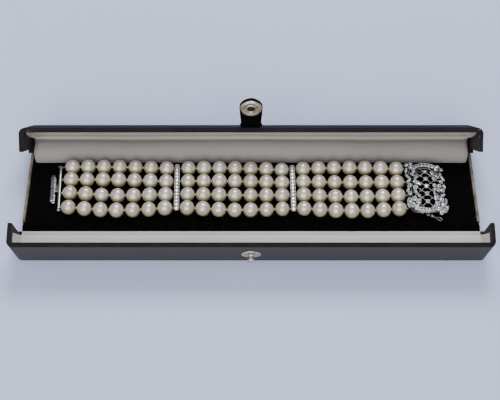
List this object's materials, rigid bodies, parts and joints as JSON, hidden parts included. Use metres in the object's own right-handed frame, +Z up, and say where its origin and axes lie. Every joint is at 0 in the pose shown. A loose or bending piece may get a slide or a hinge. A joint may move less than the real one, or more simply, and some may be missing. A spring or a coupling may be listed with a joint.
{
  "type": "pearl bracelet in a presentation case",
  "caption": "Pearl strands between jewelled bars with an openwork clasp, laid open on the velvet tray of a long case with two hinged doors.",
  "frame": {"origin": "middle of the flat underside of the case", "axes": "+X along the bracelet towards its clasp, +Y from the front door to the rear door, +Z up"},
  "size_m": [0.2216, 0.0764, 0.0459],
  "materials": {
    "case_leather": "fine grained black leather",
    "card_edging": "cream edging",
    "velvet": "black velvet",
    "satin": "ivory satin",
    "nickel": "polished nickel",
    "pearl": "nacre lustre",
    "white_gold": "polished white gold set with clear stones"
  },
  "bodies": {
    "case": {"case_base": "case_leather", "tray_edging_left": "card_edging", "tray_edging_right": "card_edging", "velvet_pad": "velvet", "rear_satin_roll": "satin", "strand_1_left": "pearl", "strand_2_left": "pearl", "strand_3_left": "pearl", "strand_4_left": "pearl", "strand_1_middle": "pearl", "strand_2_middle": "pearl", "strand_3_middle": "pearl", "strand_4_middle": "pearl", "strand_1_right": "pearl", "strand_2_right": "pearl", "strand_3_right": "pearl", "strand_4_right": "pearl", "spacer_bar_left": "white_gold", "spacer_bar_right": "white_gold", "clasp_tongue": "white_gold", "clasp_frame": "white_gold"},
    "front_door": {"front_door_shell": "case_leather", "front_door_lining": "satin", "press_stud_post": "nickel"},
    "rear_door": {"rear_door_shell": "case_leather", "rear_door_lining": "satin", "closing_tab": "case_leather", "press_stud_socket": "nickel"},
    "catch": {"safety_catch": "white_gold"}
  },
  "joints": [
    {"name": "front_door_hinge", "type": "hinge", "parent": "case", "child": "front_door", "pos_m": [0, -0.0225, 0.0032], "axis": [1, 0, 0], "range_deg": [-102.5, 0]},
    {"name": "rear_door_hinge", "type": "hinge", "parent": "case", "child": "rear_door", "pos_m": [0, 0.0225, 0.0032], "axis": [1, 0, 0], "range_deg": [-51, 51]},
    {"name": "safety_catch_pivot", "type": "hinge", "parent": "case", "child": "catch", "pos_m": [0.0842, -0.0162, 0.00875], "axis": [0, 0, 1], "range_deg": [0, 26]}
  ]
}
